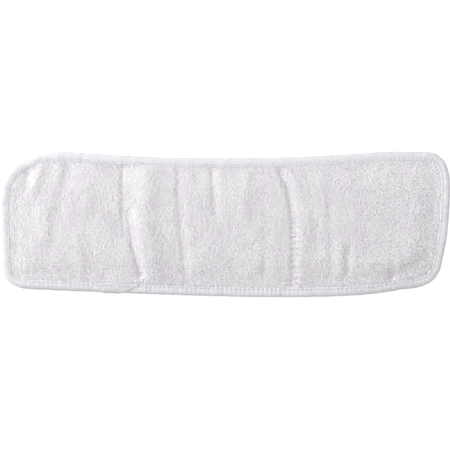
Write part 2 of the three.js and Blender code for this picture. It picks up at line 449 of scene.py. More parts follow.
def crease_height(x, y):
    """Height that the creases and ridges add at each point."""
    flat = np.column_stack([np.ravel(x), np.ravel(y)])
    height = np.zeros(len(flat))
    for points, depths, (steep, gentle), lift in CREASES:
        distance, side, u = nearest_on(points, flat)
        depth = depths[0] + (depths[1] - depths[0]) * u
        off_end = np.sqrt(np.maximum(distance**2 - side**2, 0))
        flank = np.where(side < 0, steep, gentle)
        height -= depth * np.exp(-((side / flank) ** 2) - (off_end / steep) ** 2)
        reach = RIDGE_REACH * gentle
        ridge = np.exp(-(((side - reach) / (0.6 * reach)) ** 2) - (off_end / reach) ** 2)
        height += lift * (depth / max(depths)) * ridge
    for points, lift, width in RIDGES:
        distance = nearest_on(points, flat)[0]
        height += lift * np.exp(-((distance / width) ** 2))
    return height.reshape(np.shape(x))


def nearest_on(points, flat):
    """For each point: distance to the curve, signed offset to the left of its run, share of its run."""
    curve = curve_through(points, 40)
    tangent = unit(np.gradient(curve, axis=0))
    gap = ((flat[:, None] - curve[None]) ** 2).sum(2)
    n = gap.argmin(1)
    offset = flat - curve[n]
    side = tangent[n, 0] * offset[:, 1] - tangent[n, 1] * offset[:, 0]
    return np.sqrt(gap.min(1)), side, n / (len(curve) - 1)


def droop(x, y):
    """How far the long edges sink beside the strap that carries the middle, with the further sinking
    of the heavy corner at the lower right and the roll of the lower edge."""
    edges = DROOP * smoothstep(STRAP_HALF, STRAP_HALF + DROOP_REACH, np.abs(y))
    towards_corner = CORNER_WAY[0] * (x - BINDING_HIGH[0]) + CORNER_WAY[1] * (y - BINDING_LOW[1])
    corner = CORNER_SINK * smoothstep(CORNER_START, CORNER_END, towards_corner)
    roll = LOWER_ROLL * smoothstep(LOWER_ROLL_START, BINDING_LOW[1], y)
    return edges + corner + roll


def crown(distance):
    """The share of its full height that a panel has reached at a distance from the edge."""
    return 1 - np.exp(-np.maximum(distance - TAPE_WIDTH + 1.2, 0) / CROWN_REACH)


def blank_heights(distance):
    """Heights of the wadding's two faces before it is stuffed: thin at its rim, full in the middle."""
    rim = 0.5 * (1 - smoothstep(TAPE_WIDTH + 0.4, TAPE_WIDTH + 5, distance)) + CLOTH + LAYER_GAP
    top = FACE_RIM + (FACE_GROUND - FACE_RIM) * crown(distance) - rim
    bottom = BACK_RIM + (BACK_GROUND - BACK_RIM) * crown(distance) + rim
    return top, bottom


def panel_grid(inset, step):
    """A square grid inside the outline, its rim drawn onto a line that runs inset from the edge."""
    low, high = BINDING_LOW[:2], BINDING_HIGH[:2]
    count = np.ceil((high - low) / step).astype(int)
    xs = np.linspace(low[0], high[0], count[0] + 1)
    ys = np.linspace(low[1], high[1], count[1] + 1)
    x, y = np.meshgrid(xs, ys, indexing="ij")
    middle_x = (x[1:, 1:] + x[:-1, :-1]) / 2
    middle_y = (y[1:, 1:] + y[:-1, :-1]) / 2
    kept = edge_distance(middle_x, middle_y)[0] > inset
    i, j = np.nonzero(kept)
    columns = count[1] + 1
    corner = i * columns + j
    cells = np.column_stack([corner, corner + columns, corner + columns + 1, corner + 1])
    used, faces = np.unique(cells, return_inverse=True)
    faces = faces.reshape(-1, 4)
    x, y = x.ravel()[used], y.ravel()[used]
    distance, nearest = edge_distance(x, y)
    rim = np.bincount(faces.ravel(), minlength=len(x)) < 4
    onto = EDGE[nearest] + EDGE_INWARD[nearest] * inset
    x = np.where(rim, onto[:, 0], x)
    y = np.where(rim, onto[:, 1], y)
    return x, y, np.where(rim, inset, distance), faces


def closed_pad(x, y, faces, top, bottom):
    """A closed solid between two heights over the same grid."""
    count = len(x)
    points = np.vstack([np.column_stack([x, y, top]), np.column_stack([x, y, bottom])])
    edges = {}
    for face in faces.tolist():
        for a, b in zip(face, face[1:] + face[:1]):
            if (b, a) in edges:
                del edges[b, a]
            else:
                edges[a, b] = True
    walls = [(b, a, a + count, b + count) for a, b in edges]
    piece = mesh_piece("wadding", points, np.vstack([faces, faces[:, ::-1] + count, walls]))
    on_whole_mesh(piece, bpy.ops.mesh.remove_doubles, threshold=MERGE_DISTANCE * MM)
    face_outwards(piece)
    return piece


def stuffed_wadding():
    """Needled wadding, blown up between its sewn edges. Its blank is a closed pad on an even grid, and
    its rim is held where the binding holds it."""
    x, y, distance, faces = panel_grid(BLANK_INSET, BLANK_STEP)
    piece = closed_pad(x, y, faces, *blank_heights(distance))
    swell(piece)
    subdivide = piece.modifiers.new("Smooth swell", "SUBSURF")
    subdivide.levels = 2
    subdivide.render_levels = 2
    apply_modifier(piece, subdivide)
    return piece


def swell(piece):
    """Cloth with air pressure inside, held where it is nearer the edge than HELD_RIM; no point moves
    further than MOST_SWELL."""
    before = np.array([v.co for v in piece.data.vertices])
    distance, _ = edge_distance(before[:, 0] / MM, before[:, 1] / MM)
    group = piece.vertex_groups.new(name="sewn rim")
    group.add(np.nonzero(distance < HELD_RIM)[0].tolist(), 1.0, "REPLACE")
    cloth = piece.modifiers.new("Stuffing", "CLOTH")
    cloth.settings.use_pressure = True
    cloth.settings.uniform_pressure_force = STUFFING_PRESSURE
    cloth.settings.vertex_group_mass = group.name
    cloth.settings.effector_weights.gravity = 0
    cloth.point_cache.frame_start = 1
    cloth.point_cache.frame_end = STUFFING_FRAMES
    for frame_number in range(1, STUFFING_FRAMES + 1):
        bpy.context.scene.frame_set(frame_number)
    apply_modifier(piece, cloth)
    bpy.context.scene.frame_set(1)
    after = np.array([v.co for v in piece.data.vertices])
    move = after - before
    length = np.linalg.norm(move, axis=1, keepdims=True)
    move *= np.minimum(1, MOST_SWELL * MM / np.maximum(length, 1e-9))
    piece.data.vertices.foreach_set("co", (before + move).ravel())
    piece.vertex_groups.clear()


def wadding_surface(piece, side):
    """A function that gives the height of the wadding's upper (1) or lower (-1) face, or no number
    where there is no wadding."""
    points = np.array([v.co for v in piece.data.vertices]) / MM
    tree = BVHTree.FromPolygons(points.tolist(), [tuple(p.vertices) for p in piece.data.polygons])
    way = Vector((0, 0, -side))

    def height(x, y):
        starts = [Vector((a, b, RAY_START * side)) for a, b in zip(np.ravel(x), np.ravel(y))]
        hits = [tree.ray_cast(start, way)[0] for start in starts]
        return np.array([math.nan if hit is None else hit.z for hit in hits]).reshape(np.shape(x))

    return height


def tabulated(height):
    """The same height function, worked out once on a fine grid and read from it smoothly."""
    low = BINDING_LOW[:2]
    count = np.ceil((BINDING_HIGH[:2] - low) / FIELD_STEP).astype(int) + 2
    x, y = np.meshgrid(*(low[k] + np.arange(count[k]) * FIELD_STEP for k in range(2)), indexing="ij")
    table = height(x, y, edge_distance(x, y)[0])

    def read(x, y):
        u = np.clip((x - low[0]) / FIELD_STEP, 0, count[0] - 1.001)
        v = np.clip((y - low[1]) / FIELD_STEP, 0, count[1] - 1.001)
        i, j = u.astype(int), v.astype(int)
        s, t = u - i, v - j
        near = table[i, j] * (1 - t) + table[i, j + 1] * t
        far = table[i + 1, j] * (1 - t) + table[i + 1, j + 1] * t
        return near * (1 - s) + far * s

    return read


def panel_surface(wadding, side):
    """Height of the face's (1) or back's (-1) ground cloth: on the wadding, down to the binding."""
    stuffed = wadding_surface(wadding, side)
    rim_height = FACE_RIM if side > 0 else BACK_RIM

    def height(x, y, distance):
        on_wadding = stuffed(x, y) + side * (CLOTH + LAYER_GAP)
        share = smoothstep(TAPE_WIDTH + 1.6, TAPE_WIDTH + 7, distance)
        share = np.where(np.isnan(on_wadding), 0, share)
        level = rim_height + (np.nan_to_num(on_wadding) - rim_height) * share
        fade = smoothstep(TAPE_WIDTH - 1.5, TAPE_WIDTH + 3, distance)
        soft = sum(lift * ripple(x, y, size, seed + side) for lift, size, seed in WAVES)
        creased = crease_height(x, y) if side > 0 else 0
        tucked = side * TUCK * (1 - smoothstep(TAPE_WIDTH - 0.9, TAPE_WIDTH + 0.1, distance))
        return level - tucked + fade * (creased + soft) - droop(x, y)

    return tabulated(height)


def settle_wadding(piece):
    """Presses the wadding down to the panels that hold it, crease for crease."""
    points = np.array([v.co for v in piece.data.vertices]) / MM
    x, y = points[:, 0], points[:, 1]
    roof = face_height(x, y) - CLOTH - LAYER_GAP
    floor = back_height(x, y) + CLOTH + LAYER_GAP
    upper = points[:, 2] > EDGE_CENTRE
    points[:, 2] = np.where(upper, np.maximum(roof, floor + LEAST_WADDING), floor)
    piece.data.vertices.foreach_set("co", (points * MM).ravel())


def loops(name, height, upward):
    """Uncut pile: loops of yarn in rows, each leaning its own way."""
    margin = TAPE_WIDTH - 0.1
    x, y = lattice(BINDING_LOW, BINDING_HIGH, margin, LOOP_PITCH)
    x = x + RANDOM.uniform(-LOOP_SHIFT[0], LOOP_SHIFT[0], len(x)) * LOOP_PITCH
    y = y + RANDOM.uniform(-LOOP_SHIFT[1], LOOP_SHIFT[1], len(y)) * LOOP_PITCH
    distance, _ = edge_distance(x, y)
    inside = distance > margin
    x, y = x[inside], y[inside]
    slope_x = (height(x + 1, y) - height(x - 1, y)) / 2
    slope_y = (height(x, y + 1) - height(x, y - 1)) / 2
    normal = np.column_stack([-slope_x, -slope_y, np.ones(len(x))]) * upward
    lean = RANDOM.normal(0, LOOP_LEAN, (len(x), 3)) * [1, 1, 0]
    up = unit(normal + lean)
    heading = RANDOM.normal(0, LOOP_TURN, len(x))
    across = np.column_stack([np.cos(heading), np.sin(heading), np.zeros(len(x))])
    across -= up * (across * up).sum(1, keepdims=True)
    turns = frames_along(across, up)
    # The feet reach so far down that the flat ends of the yarn are buried in the ground cloth
    points, faces = tube([(-LOOP_HALF, LOOP_FOOT), (0, LOOP_TOP), (LOOP_HALF, LOOP_FOOT)], LOOP_THREAD)
    rounded = [True] * (len(faces) - 2) + [False] * 2
    sizes = np.column_stack([RANDOM.uniform(*LOOP_WIDTHS, len(x)), np.ones(len(x)),
                             RANDOM.uniform(*LOOP_HEIGHTS, len(x)) * LOOP_HEIGHT])
    places = np.column_stack([x, y, height(x, y)])
    points, faces = repeat(points, faces, places, turns, sizes)
    piece = mesh_piece(name, points, faces)
    piece.data.polygons.foreach_set("use_smooth", rounded * len(x))
    soften_shading(piece, np.repeat(normal, len(points) // len(x), axis=0))
    return piece


def soften_shading(piece, ground):
    """Loose fibres round each yarn blur its roundness, so its shading leans towards the ground's."""
    own = np.array([vertex.vector for vertex in piece.data.vertex_normals])
    mixed = unit(own + LOOP_NAP * unit(ground))
    piece.data.normals_split_custom_set_from_vertices(mixed.tolist())


def towelling(name, height, upward):
    """The panel's ground cloth, with the small lumps of the loops' feet."""
    x, y, distance, faces = panel_grid(PANEL_INSET, PANEL_STEP)
    feet = FEET[0] * ripple(x, y, FEET[1], 1.7) * smoothstep(5, 7, distance)
    piece = mesh_piece(name, np.column_stack([x, y, height(x, y) + feet]), faces)
    if upward < 0:
        piece.data.flip_normals()
    thicken(piece, CLOTH)
    return piece


# -------- the binding

# The tape's outer surface from the lip on the face to the middle of the edge: distance in from the
# edge, height above the edge's centre, and how much the stitches pull it
TAPE_SECTION = [
    (5.72, 2.0, 0.5), (5.68, 2.6, 0.6), (5.42, 2.9, 0.8), (4.95, 2.96, 1.0), (4.62, SEAM_RISE, 1.0),
    (4.38, SEAM_RISE, 1.0), (4.05, 3.02, 1.0), (3.4, 3.14, 0.95), (2.5, 3.16, 0.85), (1.6, 3.06, 0.65),
    (0.85, 2.66, 0.4), (0.3, 1.9, 0.2), (0.05, 0.95, 0), (0.0, 0.0, 0),
]


def tape_section():
    """The section's points on the outer surface and, sunk by the tape's thickness, on the inner one."""
    outer = np.array(TAPE_SECTION)
    outer = np.vstack([outer, outer[-2::-1] * [1, -1, 1]])
    inset, rise, weight = outer.T
    turning = inset < 1
    sunk_inset = np.where(turning, inset + TAPE_CLOTH * 0.9, inset)
    sunk_rise = np.where(turning, rise * 0.75, rise - np.sign(rise) * TAPE_CLOTH)
    return outer, np.column_stack([sunk_inset, sunk_rise, weight])


def pull(along, x, y):
    """How hard the seam gathers the tape: most along the lower edge, least at the short ends."""
    lower = smoothstep(-20, -36, y)
    middle = smoothstep(-62, -40, x) * (1 - smoothstep(60, 85, x))
    base = 0.09 + 0.05 * lower + 0.09 * lower * middle
    wander = 1 + 0.55 * ripple(along, np.zeros_like(along), 21, 9.3)
    return base * wander


def tape_point(along, inset, rise, weight, lift=0.0):
    """A point of the tape's surface: along the edge, in from it and above its centre. The stitches
    gather it by its weight, and lift raises it off the layer below."""
    step = along / EDGE_LENGTH * len(EDGE)
    i = np.floor(step).astype(int) % len(EDGE)
    t = (step - np.floor(step))[..., None]
    j = (i + 1) % len(EDGE)
    base = EDGE[i] * (1 - t) + EDGE[j] * t
    inward = EDGE_INWARD[i] * (1 - t) + EDGE_INWARD[j] * t
    x, y = base[..., 0], base[..., 1]
    gather = 0.5 + 0.5 * np.cos(2 * math.pi * along / pitch_that_closes())
    dip = pull(along, x, y) * gather * weight
    wave = sum(high * ripple(along, inset * share, size, seed)
               for high, size, seed, share in FACE_WAVES)
    side = smoothstep(2.6, 0.6, inset)
    wave = wave + SIDE_WAVE[0] * side * ripple(along, rise * 0.35, *SIDE_WAVE[1:])
    lip = LIP_WAVE[0] * smoothstep(4.8, 5.7, inset) * ripple(along, np.zeros_like(along), *LIP_WAVE[1:])
    inset = inset + lip + 0.06 * smoothstep(4.6, 5.7, inset) * (1 - 2 * gather)
    rise = rise + np.sign(rise) * (lift - dip + wave * (np.abs(rise) > 0.3))
    pucker = PUCKER[0] * side * (1 + ripple(along, rise * 0.35, *PUCKER[1:]))
    place = base + inward * (inset + pucker - lift)[..., None]
    sunk = EDGE_CENTRE + rise - droop(place[..., 0], place[..., 1])
    return np.stack([place[..., 0], place[..., 1], sunk], axis=-1)


def pitch_that_closes():
    """The stitch pitch that divides the edge into whole stitches."""
    return EDGE_LENGTH / round(EDGE_LENGTH / STITCH_PITCH)


def binding_tape():
    """The folded tape, one closed ring of its section all the way round the edge."""
    outer, inner = tape_section()
    section = np.vstack([outer, inner[::-1]])
    along, column = np.meshgrid(EDGE_ALONG, np.arange(len(section)), indexing="ij")
    points = tape_point(along, section[column, 0], section[column, 1], section[column, 2])
    rows, columns = along.shape
    i, j = np.meshgrid(np.arange(rows), np.arange(columns), indexing="ij")
    k, m = (i + 1) % rows, (j + 1) % columns
    faces = np.stack([i * columns + j, i * columns + m, k * columns + m, k * columns + j], -1)
    piece = mesh_piece("binding_tape", points.reshape(-1, 3), faces.reshape(-1, 4))
    face_outwards(piece)
    return piece


def nearest_along(x, y):
    """How far along the edge its nearest point to a place lies."""
    return EDGE_ALONG[((EDGE - [x, y]) ** 2).sum(1).argmin()]


# The outline runs from right to left here, so the tape's finish comes before its start
LAP_FINISH = nearest_along(-50, -41)
LAP_START = nearest_along(-73, -40)


def lapped_end():
    """The tape's finishing end, cut on a slant and laid over its start on the lower edge."""
    outer = tape_section()[0]
    slant = LAP_SLANT * (1 - outer[:, 0] / TAPE_WIDTH)
    share = np.linspace(0, 1, LAP_ROWS)[:, None]
    end = LAP_FINISH + slant[None]
    along = end + (LAP_START - end) * share
    inset = np.broadcast_to(outer[:, 0], along.shape)
    rise = np.broadcast_to(outer[:, 1], along.shape)
    weight = np.broadcast_to(outer[:, 2] * 0.8, along.shape)
    lift = LAP_LIFT * smoothstep(1.0, 0.8, share) * np.ones_like(along)
    points = tape_point(along, inset, rise, weight, lift)
    columns = len(outer)
    i, j = np.meshgrid(np.arange(LAP_ROWS - 1), np.arange(columns - 1), indexing="ij")
    first = i * columns + j
    faces = np.stack([first, first + 1, first + columns + 1, first + columns], -1)
    piece = mesh_piece("tape_lap", points.reshape(-1, 3), faces.reshape(-1, 4))
    face_outwards(piece)
    thicken(piece, LAP_CLOTH)
    return piece


def stitch_shape():
    """One stitch of thread, lying along X with its ends turned down into the cloth."""
    bpy.ops.object.select_all(action="DESELECT")
    bpy.ops.mesh.primitive_uv_sphere_add(segments=6, ring_count=6, radius=0.5,
                                         rotation=(0, math.pi / 2, 0))
    ball = bpy.context.active_object
    bpy.ops.object.transform_apply(location=False, rotation=True, scale=False)
    points = np.array([v.co for v in ball.data.vertices])
    faces = [tuple(p.vertices) for p in ball.data.polygons]
    mesh = ball.data
    bpy.data.objects.remove(ball)
    bpy.data.meshes.remove(mesh)
    points[:, 0] = np.sign(points[:, 0]) * 0.5 * np.abs(points[:, 0] * 2) ** 0.7
    points[:, 2] -= 0.9 * (np.abs(points[:, 0]) * 2) ** 4
    quads = [f if len(f) == 4 else (f[0], f[1], f[2], f[2]) for f in faces]
    return points, quads


def stitches(name, centres, tangents, side):
    """A stitch at each centre, along its tangent, its ends turned into cloth that faces up (1) or
    down (-1)."""
    centres, tangents = np.array(centres), np.array(tangents)
    shape, faces = stitch_shape()
    tight = RANDOM.uniform(*STITCH_SPREAD, len(centres))
    thread_width = np.full(len(centres), THREAD)
    sizes = np.column_stack([STITCH_LENGTH * tight, thread_width, thread_width])
    ups = np.tile([0.0, 0.0, side], (len(centres), 1))
    points, quads = repeat(shape, faces, centres, frames_along(tangents, ups), sizes)
    piece = mesh_piece(name, points, quads)
    face_outwards(piece)
    return piece


def seam_stitches(name, side):
    """The binding seam's stitches on the face (1) or the back (-1)."""
    pitch = pitch_that_closes()
    along = (np.arange(round(EDGE_LENGTH / pitch)) + 0.5) * pitch
    inset = np.full(len(along), SEAM_INSET)
    rise = np.full(len(along), SEAM_RISE * side)
    weight = np.ones(len(along))
    centre = tape_point(along, inset, rise, weight)
    ends = [tape_point(along + way * 0.6, inset, rise, weight * 0.6) for way in (1, -1)]
    lapped = (along > LAP_FINISH) & (along < LAP_START) & (side > 0)
    centre[:, 2] += side * (STITCH_RISE + LAPPED_RISE * lapped)
    return stitches(name, centre, ends[0] - ends[1], side)


# -------- the strap


def strap_path():
    """The strap's middle line in X and Z: free end, run to the fold, half turn, sewn end."""
    low = STRAP_LOW[2] + STRAP_THICKNESS / 2
    high = SEWN_LOW[2] + STRAP_THICKNESS / 2
    radius = (high - low) / 2
    run = np.arange(STRAP_HIGH[0], HINGE[0], -STRAP_STEP)
    angles = np.linspace(0, math.pi, 12)
    sewn = np.arange(HINGE[0] + STRAP_STEP, SEWN_HIGH[0], STRAP_STEP)
    turn_x, turn_z = HINGE[0] - radius * np.sin(angles), HINGE[2] - radius * np.cos(angles)
    x = np.concatenate([run, turn_x, sewn, [SEWN_HIGH[0]]])
    z = np.concatenate([np.full(len(run), low), turn_z, np.full(len(sewn) + 1, high)])
    return x, z


def elastic_strap():
    """The webbing: cords along it, cross threads that pass them over and under, and plain selvedges."""
    x, z = strap_path()
    tangent = unit(np.gradient(np.column_stack([x, z]), axis=0))
    outward = np.column_stack([-tangent[:, 1], tangent[:, 0]])
    walked = np.concatenate([[0], np.cumsum(np.hypot(np.diff(x), np.diff(z)))])
    nose = np.clip(STRAP_CORNER - walked, 0, STRAP_CORNER)
    half = STRAP_HALF - STRAP_CORNER + np.sqrt(STRAP_CORNER**2 - nose**2)
    columns = round(2 * STRAP_HALF / STRAP_ACROSS)
    across = np.linspace(-1, 1, columns + 1)
    y = half[:, None] * across[None]
    cords = 0.5 + 0.5 * np.cos(2 * math.pi * y / CORD_PITCH)
    over_under = np.sign(cords - 0.5) * math.pi / 2
    picks = 0.5 + 0.5 * np.cos(2 * math.pi * walked[:, None] / PICK_PITCH + over_under)
    inner = smoothstep(0, SELVEDGE, STRAP_HALF - np.abs(y))
    relief = (CORD_RELIEF * cords + PICK_RELIEF * picks - 0.1) * inner - SELVEDGE_SINK * (1 - inner)
    rounded = smoothstep(-0.2, 1.0, half[:, None] - np.abs(y))
    swell = (STRAP_THICKNESS / 2 - STRAP_SKIN + relief) * (0.35 + 0.65 * rounded)
    rise_x, rise_z = outward[:, :1] * swell, outward[:, 1:] * swell
    layers = [np.stack([x[:, None] + way * rise_x, y, z[:, None] + way * rise_z], -1) for way in (1, -1)]
    rows, width = y.shape
    points = np.reshape(layers, (-1, 3))
    i, j = np.meshgrid(np.arange(rows - 1), np.arange(width - 1), indexing="ij")
    first = (i * width + j).ravel()
    top = np.stack([first, first + width, first + width + 1, first + 1], -1)
    under = rows * width
    left = np.arange(rows - 1) * width
    right = left + width - 1
    start = np.arange(width - 1)
    end = start + (rows - 1) * width
    sides = [
        np.stack([left, left + under, left + width + under, left + width], -1),
        np.stack([right + width, right + width + under, right + under, right], -1),
        np.stack([start, start + 1, start + 1 + under, start + under], -1),
        np.stack([end + 1, end, end + under, end + 1 + under], -1),
    ]
    bottom = top[:, ::-1] + under
    piece = mesh_piece("strap_webbing", points, np.vstack([top, bottom] + sides))
    face_outwards(piece)
    return piece


def row_of_stitches(corners, closed=True):
    """Centres and tangents of stitches along straight rows between corners."""
    centres, tangents = [], []
    ends = corners[1:] + corners[:1] if closed else corners[1:]
    for a, b in zip(corners, ends):
        a, b = np.array(a, float), np.array(b, float)
        count = max(1, round(np.linalg.norm(b - a) / STITCH_PITCH))
        for k in range(count):
            centres.append(a + (b - a) * (k + 0.5) / count)
            tangents.append(b - a)
    return centres, tangents


def strap_root_stitches():
    """Box stitch with a cross on the underside of the sewn end."""
    left, right = HINGE[0] + BOX_MARGIN, SEWN_HIGH[0] - BOX_MARGIN
    half = STRAP_HALF - BOX_MARGIN
    height = SEWN_LOW[2] + 0.02
    box = [(left, -half, height), (right, -half, height), (right, half, height), (left, half, height)]
    centres, tangents = row_of_stitches(box)
    for a, b in ((0, 2), (1, 3)):
        more, ways = row_of_stitches([box[a], box[b]], closed=False)
        centres += more
        tangents += ways
    return stitches("strap_root_stitches", centres, tangents, -1)


def patch_stitches():
    """One row round the hook patch, cutting across its corners."""
    left, right = PATCH_LOW[0] + PATCH_SEAM_INSET, PATCH_HIGH[0] - PATCH_SEAM_INSET
    low, high = PATCH_LOW[1] + PATCH_SEAM_INSET, PATCH_HIGH[1] - PATCH_SEAM_INSET
    cut = PATCH_CUT
    flat = [(left + cut, low), (right - cut, low), (right, low + cut), (right, high - cut),
            (right - cut, high), (left + cut, high), (left, high - cut), (left, low + cut)]
    corners = [(x, y, PATCH_LOW[2] + PATCH_SEAM_RISE) for x, y in flat]
    return stitches("hook_patch_stitches", *row_of_stitches(corners), 1)


def hook_base():
    """The woven back of the hook tape."""
    bpy.ops.object.select_all(action="DESELECT")
    centre = (PATCH_LOW + PATCH_HIGH) / 2
    centre[2] = PATCH_LOW[2] - HOOK_BASE_SINK + HOOK_BASE / 2
    size = (PATCH_HIGH - PATCH_LOW) * MM
    bpy.ops.mesh.primitive_cube_add(size=1, location=(0, 0, 0))
    base = bpy.context.active_object
    base.name = "hook_tape"
    base.data.transform(Matrix.Diagonal((size[0], size[1], HOOK_BASE * MM, 1)))
    base.data.transform(Matrix.Translation(Vector(centre) * MM))
    bevel_upright_edges(base, PATCH_CORNER * MM, 5)
    bevel = base.modifiers.new("Worn edge", "BEVEL")
    bevel.width = 0.2 * MM
    bevel.segments = 2
    bevel.limit_method = "ANGLE"
    apply_modifier(base, bevel)
    return base


def bevel_upright_edges(piece, width, segments):
    bpy.ops.object.mode_set(mode="EDIT")
    bpy.ops.mesh.select_mode(type="EDGE")
    bpy.ops.mesh.select_all(action="DESELECT")
    bpy.ops.object.mode_set(mode="OBJECT")
    for edge in piece.data.edges:
        a, b = (piece.data.vertices[i].co for i in edge.vertices)
        edge.select = abs(a.z - b.z) > 1e-6
    bpy.ops.object.mode_set(mode="EDIT")
    bpy.ops.mesh.bevel(offset=width, segments=segments)
    bpy.ops.object.mode_set(mode="OBJECT")


def hooks():
    """Rows of small nylon hooks on the patch."""
    points, faces = tube(HOOK_SPINE, HOOK_WIRE)
    x, y = lattice(PATCH_LOW, PATCH_HIGH, HOOK_MARGIN, HOOK_PITCH)
    row = np.rint((y - y[0]) / HOOK_PITCH)
    heading = math.pi / 2 * np.sign((row % 2) - 0.5) + RANDOM.uniform(-0.2, 0.2, len(x))
    along = np.column_stack([np.cos(heading), np.sin(heading), np.zeros(len(x))])
    up = np.tile([0.0, 0.0, 1.0], (len(x), 1))
    places = np.column_stack([x, y, np.full(len(x), PATCH_LOW[2] + HOOK_ROOT)])
    points, faces = repeat(points, faces, places, frames_along(along, up), np.ones((len(x), 3)))
    piece = mesh_piece("hooks", points, faces)
    face_outwards(piece)
    return piece


# -------- materials


def linear(colour):
    """sRGB hex to linear values."""
    parts = [int(colour[i:i + 2], 16) / 255 for i in (1, 3, 5)]
    return [c / 12.92 if c <= 0.04045 else ((c + 0.055) / 1.055) ** 2.4 for c in parts] + [1]


def node(tree, kind, settings, links):
    """Adds a node. settings are its properties, its sockets' values or a ramp's stops; links are the
    sockets to join, by name or number, and what feeds each."""
    new = tree.nodes.new(kind)
    for key, value in settings.items():
        if key == "stops":
            for element, (place, colour) in zip(new.color_ramp.elements, value):
                element.position = place
                element.color = linear(colour)
        elif isinstance(key, str) and hasattr(new, key):
            setattr(new, key, value)
        else:
            new.inputs[key].default_value = value
    for key, source in links.items():
        tree.links.new(source, new.inputs[key])
    return new


def new_material(name):
    """An empty material, its node tree and the object's own coordinates in it."""
    material = bpy.data.materials.new(name)
    material.use_nodes = True
    tree = material.node_tree
    tree.nodes.clear()
    return material, tree, node(tree, "ShaderNodeTexCoord", {}, {}).outputs["Object"]


def finish_material(tree, shade, stops, grain, roughness, height, bump, sheen, specular=0.3):
    """Colour from a shade value and two stops, roughness from a grain value, and a bump of a strength
    and depth in millimetres from a height value, under a sheen of loose fibres."""
    strength, depth = bump
    colour = node(tree, "ShaderNodeValToRGB", {"stops": stops}, {"Fac": shade})
    low, high = roughness
    rough = node(tree, "ShaderNodeMapRange", {"To Min": low, "To Max": high}, {"Value": grain})
    relief = node(tree, "ShaderNodeBump", {"Strength": strength, "Distance": depth * MM},
                  {"Height": height})
    shader = node(tree, "ShaderNodeBsdfPrincipled", {
        "Specular IOR Level": specular, "Sheen Weight": sheen, "Sheen Roughness": 0.6,
        "Subsurface Weight": 0.7, "Subsurface Radius": (1.0, 0.95, 1.0), "Subsurface Scale": 1.6 * MM,
    }, {"Base Color": colour.outputs["Color"], "Roughness": rough.outputs["Result"],
        "Normal": relief.outputs["Normal"]})
    node(tree, "ShaderNodeOutputMaterial", {}, {"Surface": shader.outputs["BSDF"]})


def per_metre(size):
    """The noise scale whose lumps are size millimetres."""
    return 1 / (size * MM)


def stripes(pitch):
    """The wave scale whose stripes are pitch millimetres apart; a wave has 20 radians to a unit."""
    return 2 * math.pi / (20 * pitch * MM)


def terry_cotton(name, dark, light):
    """Ring-spun cotton towelling, bleached: matt, with fibre fuzz that softens every edge and faint
    patches where the loops lie differently."""
    material, tree, place = new_material(name)
    fibres = node(tree, "ShaderNodeTexNoise", {"Scale": per_metre(0.35), "Detail": 3}, {"Vector": place})
    patches = node(tree, "ShaderNodeTexNoise", {"Scale": per_metre(14), "Detail": 2}, {"Vector": place})
    fibres, patches = fibres.outputs["Fac"], patches.outputs["Fac"]
    shade = node(tree, "ShaderNodeMath", {"operation": "MULTIPLY_ADD", 1: 0.6}, {0: fibres, 2: patches})
    finish_material(tree, shade.outputs[0], ((0.45, dark), (1.05, light)), fibres, (0.86, 0.98),
                    fibres, (0.2, 0.1), 0.15)
    return material


def woven_tape():
    """Plain-weave cotton tape, bleached and folded: flatter and a little brighter than towelling."""
    material, tree, place = new_material("Bleached cotton tape")
    # The real threads are about 0.35 mm apart; threads and gaps of 0.6 mm are the finest that show
    weave = {"Scale": stripes(2 * 0.6), "Distortion": 1.5, "Detail": 1}
    warp = node(tree, "ShaderNodeTexWave", {"bands_direction": "X", **weave}, {"Vector": place})
    weft = node(tree, "ShaderNodeTexWave", {"bands_direction": "Y", **weave}, {"Vector": place})
    woven = node(tree, "ShaderNodeMath", {"operation": "MAXIMUM"},
                 {0: warp.outputs["Fac"], 1: weft.outputs["Fac"]})
    cloud = node(tree, "ShaderNodeTexNoise", {"Scale": per_metre(5), "Detail": 3}, {"Vector": place})
    cloud = cloud.outputs["Fac"]
    finish_material(tree, cloud, ((0.3, "#e9e4ec"), (0.75, "#f5f0f8")), cloud, (0.7, 0.85),
                    woven.outputs[0], (0.4, 0.08), 0.15)
    return material


def spun_thread():
    """Spun polyester sewing thread: fine twist and a slight lustre."""
    material, tree, place = new_material("Spun polyester thread")
    twist = node(tree, "ShaderNodeTexNoise", {"Scale": per_metre(0.2), "Detail": 1}, {"Vector": place})
    twist = twist.outputs["Fac"]
    finish_material(tree, twist, ((0.3, "#e9e8ee"), (0.7, "#fafafd")), twist, (0.45, 0.6),
                    twist, (0.3, 0.05), 0.1, 0.4)
    return material


def woven_elastic():
    """Woven elastic: rubber cords side by side under polyester yarn, its colour darkened along the
    grooves between the cords as painted shade.
    """
    material, tree, place = new_material("White woven elastic")
    yarn = node(tree, "ShaderNodeTexNoise", {"Scale": per_metre(0.4), "Detail": 2}, {"Vector": place})
    cloud = node(tree, "ShaderNodeTexNoise", {"Scale": per_metre(20), "Detail": 2}, {"Vector": place})
    yarn = yarn.outputs["Fac"]
    cords = node(tree, "ShaderNodeTexWave", {
        "Scale": stripes(CORD_PITCH), "bands_direction": "Y", "Distortion": 0, "Detail": 1,
    }, {"Vector": place})
    mixed = node(tree, "ShaderNodeMath", {"operation": "MULTIPLY_ADD", 1: 0.5},
                 {0: yarn, 2: cloud.outputs["Fac"]})
    # Painted shade: the colour is darker where the cord stripes peak, which is along the grooves between
    # the cords
    shade = node(tree, "ShaderNodeMath", {"operation": "MULTIPLY_ADD", 1: -0.3},
                 {0: cords.outputs["Fac"], 2: mixed.outputs[0]})
    finish_material(tree, shade.outputs[0], ((0.2, "#aeacb2"), (0.85, "#d6d4da")), yarn, (0.65, 0.85),
                    yarn, (0.4, 0.08), 0.15)
    return material


